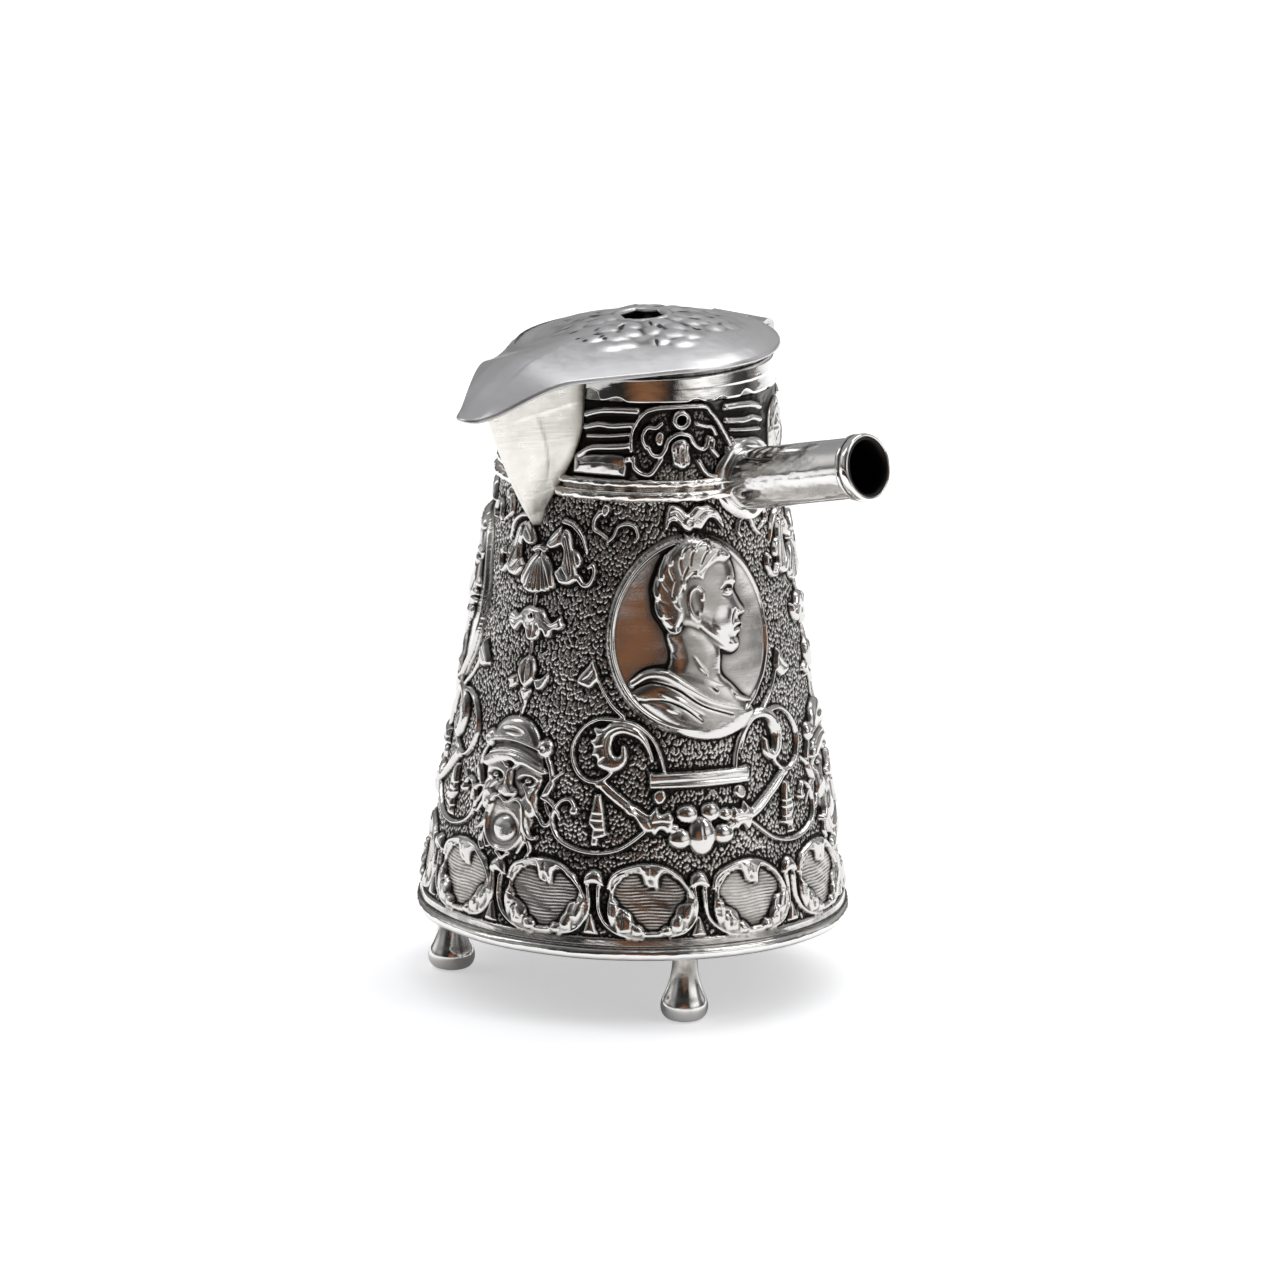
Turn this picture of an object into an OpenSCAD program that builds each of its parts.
// Small silver side-handled coffee pot: a chased cone on three ball feet, with a
// pouring lip, a hinged beaked lid and a socket for a turned wooden handle.
// Millimetres, +Z up. The origin is on the pot's axis at the level of the feet.
// The lip points along -Y, the handle socket along +X and the hinge is at +Y.

/* [Body] */
// Outer radius of the base rim
rim_r = 30; // [29.5:0.1:31]
// Height of the middle of the base rim above the table
base_z = 10.5; // [9.5:0.1:12]
// Outer radius of the chased cone at its foot
cone_foot_r = 29.65; // [29:0.05:29.8]
// Outer radius of the cone where the neck begins
cone_top_r = 19.2; // [19:0.05:19.5]
// Height of the neck's foot above the rim
neck_level = 60.7; // [60:0.1:61.5]
// Height of the plain band's foot above the rim
band_level = 72.8; // [72.4:0.1:73.2]
// Height of the mouth above the rim, on the pot's axis
mouth_level = 76.6; // [76.2:0.1:77]
// Slope of the mouth, down towards the lip, in degrees
mouth_tilt = 2.4; // [1.5:0.1:3]
// Outer radius of the neck under the band
neck_top_r = 18.2; // [18:0.05:18.3]
// Outer radius of the plain band at its foot
band_foot_r = 18.5; // [18.4:0.05:18.6]
// Outer radius of the plain band at the mouth
mouth_r = 17.8; // [17.7:0.05:17.9]
// Thickness of the sheet silver
sheet = 0.8; // [0.6:0.05:0.9]

/* [Feet] */
// Distance of each foot from the pot's axis
foot_ring_r = 24.8; // [24:0.1:24.9]
// Directions of the three feet, in degrees from the handle side
foot_angles = [-31, -138, 95];
// Radius of the solder pad above each foot
foot_pad_r = 3.1; // [2.8:0.1:3.2]

/* [Handle socket] */
// Rise of the socket above the horizontal, in degrees
socket_rise = 13; // [10:0.5:15]
// Distance of the socket's mouth from the pot's axis
socket_reach = 40.5; // [39:0.5:43]
// Height of the centre of the socket's mouth above the rim
socket_level = 66.7; // [66.5:0.1:67]
// Outer radius of the socket tube
socket_r = 4.15; // [4:0.05:4.3]
// Radius of the bore that takes the wooden handle
socket_bore_r = 3.65; // [3.4:0.05:3.7]
// Depth of that bore; the root of the tube behind it is filled with solder
socket_bore_depth = 21; // [18:0.5:21]
// Outer radius of the ring on the end of the socket
socket_ring_r = 4.55; // [4.5:0.05:4.8]
// Length of that ring
socket_ring_h = 2.1; // [1.5:0.1:3]
// Radius of the patch that carries the socket
patch_r = 5.6; // [5.2:0.1:6]
// Thickness of that patch
patch_t = 0.7; // [0.5:0.05:0.9]

/* [Lip] */
// Height of the lip's lowest point above the rim
lip_foot_level = 55.2; // [54.5:0.1:56]
// Half the angle that the lip takes at the mouth, in degrees
lip_half_angle = 17.2; // [16:0.1:18]
// Distance of the lip's point from the pot's axis
lip_reach = 31.1; // [30:0.1:31.5]
// Height of the lip's point above the rim
lip_level = 72.8; // [72:0.1:73]

/* [Lid] */
// Radius of the round part of the lid
lid_r = 18.6; // [18.5:0.05:18.8]
// Distance of the beak's point from the pot's axis
beak_reach = 35.8; // [35:0.1:36.5]
// Radius of the beak's point
beak_nose_r = 2.4; // [2:0.1:2.6]
// Height of the lid's edge above the rim, on the pot's axis
lid_level = 78.1; // [78:0.05:78.3]
// Slope of the lid, down towards the lip, in degrees
lid_tilt = 4.1; // [3.5:0.1:4.5]
// Rise of the crown above the lid's edge
crown_rise = 3.7; // [3:0.1:4]
// Extra droop of the beak's point
beak_droop = 3.6; // [2.5:0.1:4]
// Thickness of the lid's sheet
lid_sheet = 0.55; // [0.45:0.05:0.6]
// Radius of the hole that holds the finial
finial_bore_r = 2.9; // [2:0.1:3.2]

/* [Hinge] */
// Distance of the hinge pin from the pot's axis
hinge_y = 20; // [19.9:0.05:20.2]
// Height of the hinge pin above the rim
hinge_level = 77.9; // [77.8:0.05:78]
// Outer radius of the knuckles
knuckle_r = 1.3; // [1.2:0.05:1.3]
// Radius of the pin
pin_r = 0.5; // [0.4:0.05:0.6]
// Running clearance round the pin
pin_clearance = 0.05; // [0.02:0.01:0.1]
// Width of the whole hinge
hinge_w = 10; // [10:0.5:13]
// Width of the lid's knuckle
lid_knuckle_w = 3.6; // [3.5:0.1:4.5]

/* [Hidden] */
$fn = 96;
touch = 0.02;           // gap between soldered pieces that meet on curved faces
far = 200;              // size of the solids that only cut

neck_foot_r = cone_top_r - 0.15;
rim_top = 0.95;         // top of the base rim above its middle
rim_inner_r = rim_r - 1.9;
plate_low = -0.35;      // underside of the base plate, from the rim's middle
plate_high = 0.45;

silver = [0.80, 0.79, 0.77];
bright = [0.90, 0.90, 0.89];
oxidised = [0.52, 0.50, 0.48];
brown = [0.50, 0.36, 0.26];

function lerp(a, b, t) = a + (b - a) * t;

// Outer radius of the pot's wall at a height above the rim
function wall_r(z) =
    z < neck_level ? lerp(cone_foot_r, cone_top_r, (z - rim_top) / (neck_level - rim_top)) :
    z < band_level ? lerp(neck_foot_r, neck_top_r, (z - neck_level) / (band_level - neck_level)) :
    lerp(band_foot_r, mouth_r, (z - band_level) / (mouth_level - band_level));

// A solid of revolution from an outline in radius and height above the rim
module turned(outline) translate([0, 0, base_z]) rotate_extrude() polygon(outline);

// A conical wall of sheet between two heights
module sheet_wall(low, high, low_r, high_r, t)
    turned([[low_r - t, low], [low_r, low], [high_r, high], [high_r - t, high]]);

// Everything inside the pot's outer surface, grown by a skin
module pot_solid(skin) turned([
    [0, rim_top], [cone_foot_r + skin, rim_top], [cone_top_r + skin, neck_level],
    [neck_foot_r + skin, neck_level], [neck_top_r + skin, band_level],
    [band_foot_r + skin, band_level], [mouth_r + skin, mouth_level + 2], [0, mouth_level + 2]]);

// The gap in the wall behind the lip, grown sideways
module pouring_gap(grow) {
    half_w = [[0, 59.4], [2.0, 62.3], [3.3, 65.5], [4.2, 69.5], [4.2, mouth_level + 4]];
    right = [for (p = half_w) [p[0] + grow, p[1]]];
    left = [for (i = [len(half_w) - 1 : -1 : 0]) [-half_w[i][0] - grow, half_w[i][1]]];
    translate([0, -10, base_z]) rotate([90, 0, 0]) linear_extrude(14) polygon(concat(right, left));
}

// Everything above the sloping mouth, or below it
module above_mouth(gap) translate([0, 0, base_z + mouth_level]) rotate([mouth_tilt, 0, 0])
    translate([-far / 2, -far / 2, gap]) cube(far);
module below_mouth(gap) translate([0, 0, base_z + mouth_level]) rotate([mouth_tilt, 0, 0])
    translate([-far / 2, -far / 2, gap - far]) cube(far);

module body_shell() color(oxidised) difference() {
    sheet_wall(rim_top, neck_level, cone_foot_r, cone_top_r, sheet);
    pouring_gap(0);
}

module neck_collar() color(oxidised) difference() {
    sheet_wall(neck_level, band_level, neck_foot_r, neck_top_r, sheet);
    pouring_gap(0);
}

module plain_band() color(bright) difference() {
    sheet_wall(band_level, mouth_level + 2, band_foot_r, lerp(band_foot_r, mouth_r, 1.5), sheet + 0.1);
    pouring_gap(0);
    above_mouth(0);
}

// Two soldered half-round wires that hide the seam between cone and neck
module neck_moulding() color(brown) difference() {
    translate([0, 0, base_z]) rotate_extrude() difference() {
        union() {
            translate([cone_top_r + 0.1, neck_level - 0.3]) circle(0.75);
            translate([neck_foot_r, neck_level + 1.4]) circle(0.6);
            translate([neck_foot_r - 0.5, neck_level - 0.3]) square([0.75, 1.7]);
        }
        polygon([[0, neck_level - 2], [wall_r(neck_level - 2) + touch, neck_level - 2],
            [cone_top_r + touch, neck_level], [wall_r(neck_level + 3) + touch, neck_level + 3],
            [0, neck_level + 3]]);
    }
    pouring_gap(1.9);
    socket_frame() translate([0, 0, -far]) cylinder(h = far, r = patch_r + touch);
}

module base_rim() color(silver) translate([0, 0, base_z]) rotate_extrude() union() {
    translate([rim_inner_r, 0.25]) square([rim_r - rim_inner_r - 0.1, rim_top - 0.25]);
    translate([rim_inner_r, -0.75]) square([0.95, 1.2]);
    translate([rim_r - 0.85, -0.15]) circle(0.85);
}

module base_plate() color(silver) translate([0, 0, base_z + plate_low])
    cylinder(h = plate_high - plate_low, r = rim_inner_r - touch);

// A cast foot: flattened ball, bell-shaped stem and solder pad
module ball_foot(angle) {
    top = base_z + plate_low - touch;
    outline = [[0, 0], [1.7, 0], [2.6, 0.35], [3.15, 1.0], [3.35, 1.9], [3.2, 2.8], [2.75, 3.8],
        [2.35, 4.9], [2.0, 6.2], [1.8, 7.6], [1.8, top - 1.1], [2.1, top - 0.7],
        [foot_pad_r, top - 0.6], [foot_pad_r, top], [0, top]];
    color(silver) rotate([0, 0, angle]) translate([foot_ring_r, 0, 0]) rotate_extrude() polygon(outline);
}
module foot_front() ball_foot(foot_angles[0]);
module foot_side() ball_foot(foot_angles[1]);
module foot_rear() ball_foot(foot_angles[2]);

// ---- pouring lip ----

// Line of the lip's front ridge, as distance from the axis and height
lip_start = [wall_r(lip_foot_level) + 0.9, lip_foot_level];
lip_bend = [27.25, 62.8];
lip_end = [lip_reach, lip_level];
function lip_ridge(v) =
    (1 - v) * (1 - v) * lip_start + 2 * v * (1 - v) * lip_bend + v * v * lip_end;

// Height at which the lip's side meets the wall, and its angle from the lip's middle there
function lip_side_level(v) = lerp(lip_foot_level, mouth_level - 0.7, v);
function lip_side_angle(v) = lip_half_angle * pow(sin(min(90, 121.5 * v)), 1.5);

// A point on the lip's outer skin (inset = 0) or on its inner skin (inset = sheet);
// u runs from -1 at one side over 0 at the ridge to 1 at the other
nose = 0.12;
function lip_fold(u) = (sqrt(u * u + nose * nose) - nose) / (sqrt(1 + nose * nose) - nose);
function lip_point(u, v, inset) = let(
    inset_angle = inset * 3.3,
    angle = max(inset > 0 ? 0.6 : 2, lip_side_angle(v) - inset_angle),
    side_z = lip_side_level(v),
    side_r = wall_r(side_z) + 0.05,
    ridge = lip_ridge(v) - [inset * 0.9, 0],
    f = lip_fold(u))
    [u * side_r * sin(angle), -lerp(ridge[0], side_r * cos(angle), f),
        base_z + lerp(ridge[1], side_z, f)];

lip_rows = 14;
lip_cols = 18;
module pouring_lip() color(bright) {
    us = [for (i = [0 : lip_cols]) let(t = 2 * i / lip_cols - 1) sign(t) * pow(abs(t), 1.4)];
    n = lip_cols + 1;
    half = n * (lip_rows + 1);
    skin = function (inset) [for (j = [0 : lip_rows]) for (u = us) lip_point(u, j / lip_rows, inset)];
    outer = [for (j = [0 : lip_rows - 1]) for (i = [0 : n - 2])
        let(a = j * n + i) each [[a, a + 1, a + n + 1], [a, a + n + 1, a + n]]];
    inner = [for (f = outer) [f[0] + half, f[2] + half, f[1] + half]];
    foot = [for (i = [0 : n - 2]) each [[i, i + half, i + 1 + half], [i, i + 1 + half, i + 1]]];
    top0 = lip_rows * n;
    top = [for (i = [0 : n - 2]) let(a = top0 + i)
        each [[a, a + 1, a + 1 + half], [a, a + 1 + half, a + half]]];
    left = [for (j = [0 : lip_rows - 1]) let(a = j * n)
        each [[a, a + n, a + n + half], [a, a + n + half, a + half]]];
    right = [for (j = [0 : lip_rows - 1]) let(a = j * n + n - 1)
        each [[a, a + half, a + n + half], [a, a + n + half, a + n]]];
    polyhedron(concat(skin(0), skin(sheet)), concat(outer, inner, foot, top, left, right));
}

// ---- handle socket ----

// The socket's own frame: +Z runs out of its mouth, which is at the origin
module socket_frame() translate([socket_reach, 0, base_z + socket_level])
    rotate([0, 90 - socket_rise, 0]) children();
socket_len = socket_reach - 14;

module socket_tube() color(silver) difference() {
    socket_frame() difference() {
        translate([0, 0, -socket_len]) cylinder(h = socket_len, r = socket_r);
        translate([0, 0, -socket_bore_depth]) cylinder(h = socket_bore_depth + 1, r = socket_bore_r);
    }
    pot_solid(touch);
}

module socket_end_ring() color(bright) socket_frame() translate([0, 0, -socket_ring_h]) difference() {
    cylinder(h = socket_ring_h, r = socket_ring_r);
    translate([0, 0, -1]) cylinder(h = socket_ring_h + 2, r = socket_r + touch);
}

// A saddle-shaped patch of solder and sheet between the tube and the wall
module socket_patch() color(silver) difference() {
    intersection() {
        pot_solid(patch_t);
        socket_frame() translate([0, 0, -socket_len]) cylinder(h = socket_len, r = patch_r);
    }
    pot_solid(touch);
    socket_frame() translate([0, 0, -far]) cylinder(h = far, r = socket_r + touch);
}

// ---- lid ----

// The lid's own frame: the plane of its edge, sloping towards the lip
module lid_frame() translate([0, 0, base_z + lid_level]) rotate([lid_tilt, 0, 0]) children();

// Right half of the lid's outline, from the back to the point of the beak, as
// distance towards the lip and distance sideways
arc_end = 62;           // angle from the beak at which the round part ends
nose_end = 58;
nose_at = beak_reach - beak_nose_r;
flank = [lid_r * [cos(arc_end), sin(arc_end)], [12.6, 14], [24, 7.4],
    [nose_at, 0] + beak_nose_r * [cos(nose_end), sin(nose_end)]];
function bezier(p, t) = pow(1 - t, 3) * p[0] + 3 * t * pow(1 - t, 2) * p[1]
    + 3 * t * t * (1 - t) * p[2] + pow(t, 3) * p[3];
half_outline = concat(
    [for (i = [0 : 22]) let(a = lerp(180, arc_end, i / 22)) lid_r * [cos(a), sin(a)]],
    [for (i = [1 : 12]) bezier(flank, i / 12)],
    [for (i = [1 : 4]) let(a = lerp(nose_end, 0, i / 4)) [nose_at, 0] + beak_nose_r * [cos(a), sin(a)]]);
lid_outline = concat(half_outline,
    [for (i = [len(half_outline) - 2 : -1 : 1]) [half_outline[i][0], -half_outline[i][1]]]);

// How far the beak bends down at a distance towards the lip
droop_from = 22.2;
function droop(s) = let(t = max(0, (s - droop_from) / (beak_reach - droop_from)))
    beak_droop * t * t * (2.37 - 1.37 * t * t);

// A point on the lid's upper skin, at a fraction t of the way out to an outline point;
// the middle is flat where the finial stands
crown_flat = 0.91;      // part of the crown's rise at which it becomes flat
edge_h = 0.35;          // height of the upper skin above the edge's plane
function lid_point(p, t, low) = let(rise = min(crown_flat, 1 - pow(t, 1.68)))
    [p[1] * t, -p[0] * t, edge_h + crown_rise * rise - droop(p[0] * t) - low];

module lid_shell() color(silver) lid_frame() difference() {
    rings = [0.12, 0.24, 0.38, 0.52, 0.65, 0.77, 0.87, 0.94, 1];
    m = len(lid_outline);
    k = len(rings);
    half = m * k + 1;
    skin = function (low) concat([lid_point([lid_r, 0], 0, low)],
        [for (t = rings) for (p = lid_outline) lid_point(p, t, low)]);
    fan = [for (i = [0 : m - 1]) [0, 1 + i, 1 + (i + 1) % m]];
    bands = [for (j = [0 : k - 2]) for (i = [0 : m - 1])
        let(a = 1 + j * m + i, b = 1 + j * m + (i + 1) % m)
        each [[a, a + m, b + m], [a, b + m, b]]];
    upper = concat(fan, bands);
    lower = [for (f = upper) [f[0] + half, f[2] + half, f[1] + half]];
    rim0 = 1 + (k - 1) * m;
    edge = [for (i = [0 : m - 1]) let(a = rim0 + i, b = rim0 + (i + 1) % m)
        each [[a, a + half, b + half], [a, b + half, b]]];
    polyhedron(concat(skin(0), skin(lid_sheet)), concat(upper, lower, edge));
    cylinder(h = 20, r = finial_bore_r);
}

// The ring under the lid: a seat that rests on the mouth and a sleeve that dips into it
bezel_r = 16.3;
bezel_t = 0.7;
seat_r = 17.4;
seat_gap = 0.1;         // gap between the closed lid's seat and the mouth
seat_top = 0.1;         // top of the seat above the plane of the lid's edge
module lid_bezel() color(silver) {
    difference() {
        translate([0, 0, base_z + mouth_level - 2.2]) cylinder(h = 6, r = bezel_r);
        translate([0, 0, base_z + mouth_level - 4]) cylinder(h = 12, r = bezel_r - bezel_t);
        above_mouth(seat_gap + 0.5);
    }
    difference() {
        intersection() {
            above_mouth(seat_gap);
            lid_frame() translate([0, 0, seat_top - 10]) cylinder(h = 10, r = far / 2);
            cylinder(h = far, r = seat_r);
        }
        cylinder(h = far, r = bezel_r - bezel_t);
    }
}

// ---- hinge ----

module along_x(x0, x1, r) translate([x0, hinge_y, base_z + hinge_level])
    rotate([0, 90, 0]) cylinder(h = x1 - x0, r = r);
knuckle_gap = 0.1;
leaf_t = 0.55;

// A curved plate soldered to the back of the band
module hinge_body_leaf() color(silver) difference() {
    intersection() {
        translate([0, 0, base_z]) cylinder(h = far, r = band_foot_r + leaf_t);
        translate([-hinge_w / 2, 5, base_z + band_level + 0.3])
            cube([hinge_w, far, hinge_level - band_level - 1.5]);
    }
    pot_solid(touch);
    along_x(-hinge_w, hinge_w, knuckle_r + 0.12);
}

// The two outer knuckles, each on a web that stands on the leaf
module hinge_body_knuckles() color(silver) difference() {
    for (side = [-1, 1]) body_knuckle(side);
    along_x(-hinge_w, hinge_w, pin_r + pin_clearance);
    translate([0, 0, base_z]) cylinder(h = far, r = band_foot_r + leaf_t + touch);
}
module body_knuckle(side) {
    inner = lid_knuckle_w / 2 + knuckle_gap;
    x0 = side > 0 ? inner : -hinge_w / 2;
    along_x(x0, x0 + hinge_w / 2 - inner, knuckle_r);
    translate([x0, band_foot_r, base_z + hinge_level - knuckle_r])
        cube([hinge_w / 2 - inner, hinge_y - band_foot_r, knuckle_r]);
}

module hinge_pin() color(bright) along_x(-hinge_w / 2 - 0.25, hinge_w / 2 + 0.25, pin_r);

// The lid's knuckle, and the strap that carries it under the back of the lid
module hinge_lid_knuckle() color(silver) difference() {
    along_x(-lid_knuckle_w / 2, lid_knuckle_w / 2, knuckle_r);
    along_x(-lid_knuckle_w, lid_knuckle_w, pin_r + pin_clearance);
}
module hinge_lid_leaf() color(silver) difference() {
    translate([-lid_knuckle_w / 2, seat_r + 0.1, base_z + hinge_level + 0.62])
        cube([lid_knuckle_w, hinge_y - seat_r - 0.1, 0.68]);
    along_x(-lid_knuckle_w, lid_knuckle_w, knuckle_r + touch);
}

body_shell();
neck_collar();
plain_band();
neck_moulding();
base_rim();
base_plate();
foot_front();
foot_side();
foot_rear();
pouring_lip();
socket_patch();
socket_tube();
socket_end_ring();
hinge_body_leaf();
hinge_body_knuckles();
hinge_pin();
lid_shell();
lid_bezel();
hinge_lid_leaf();
hinge_lid_knuckle();
